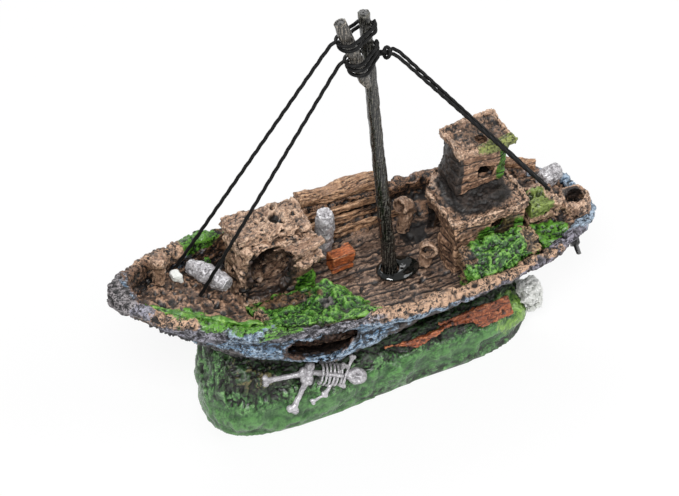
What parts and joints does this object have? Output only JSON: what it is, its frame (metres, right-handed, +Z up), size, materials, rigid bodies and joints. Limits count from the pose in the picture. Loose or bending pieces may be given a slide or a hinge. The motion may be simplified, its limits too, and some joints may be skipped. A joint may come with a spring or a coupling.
{
  "type": "aquarium ornament",
  "caption": "Wrecked fishing boat heeled over on a mossy rock, with hollow cabins, a breached hull, a raked mast and cord rigging; a decoration that stands in an aquarium.",
  "frame": {"origin": "middle of the box round the part, on the table", "axes": "+X from bow to stern, +Y to the far side away from the heel, +Z up"},
  "size_m": [0.145, 0.0494, 0.1292],
  "materials": {
    "rock": "painted cast resin, mossy green, semi-gloss",
    "hull_paint": "painted cast resin, streaky blue-grey",
    "timber": "painted cast resin, dry-brushed tan over black",
    "moss": "painted cast resin, bright green",
    "rust": "painted cast resin, rust brown",
    "silver": "painted cast resin, silver-white",
    "black_plastic": "moulded black plastic with a wood grain",
    "glue": "hardened black glue",
    "cord": "twisted black cord"
  },
  "bodies": {
    "root": {"rock_base": "rock", "hull": "hull_paint", "main_deck": "timber", "foredeck": "timber", "poop_deck": "timber", "fore_cabin": "timber", "fore_cabin_roof": "timber", "fore_cabin_lintel": "timber", "fore_cabin_sill": "timber", "leaning_board": "timber", "far_bulwark_log": "timber", "far_bulwark_plank_1": "timber", "far_bulwark_plank_2": "timber", "far_bulwark_plank_3": "timber", "bow_bollard": "timber", "cowl_vent_near": "timber", "cowl_vent_far": "timber", "aft_cabin": "timber", "aft_cabin_roof": "timber", "upper_cabin": "timber", "upper_cabin_roof": "timber", "aft_step": "timber", "stern_pipe": "timber", "stern_timber": "timber", "bow_moss": "moss", "cabin_moss_bank": "moss", "aft_moss_bank": "moss", "rust_crate": "rust", "rust_plank_long": "rust", "rust_plank_short": "rust", "bow_barrel": "silver", "bow_stone": "silver", "mid_barrel": "silver", "stern_barrel": "silver", "white_coral": "silver", "skull": "silver", "rib_cage": "silver", "thigh_bone": "silver", "shin_bone": "silver", "mast": "black_plastic", "broken_spar": "black_plastic", "propeller": "black_plastic", "propeller_shaft": "black_plastic", "mast_glue": "glue", "fore_stay_near": "cord", "fore_stay_far": "cord", "back_stay_near": "cord", "back_stay_far": "cord", "upper_lashing": "cord", "lower_lashing": "cord", "stay_knot": "cord"}
  },
  "joints": []
}
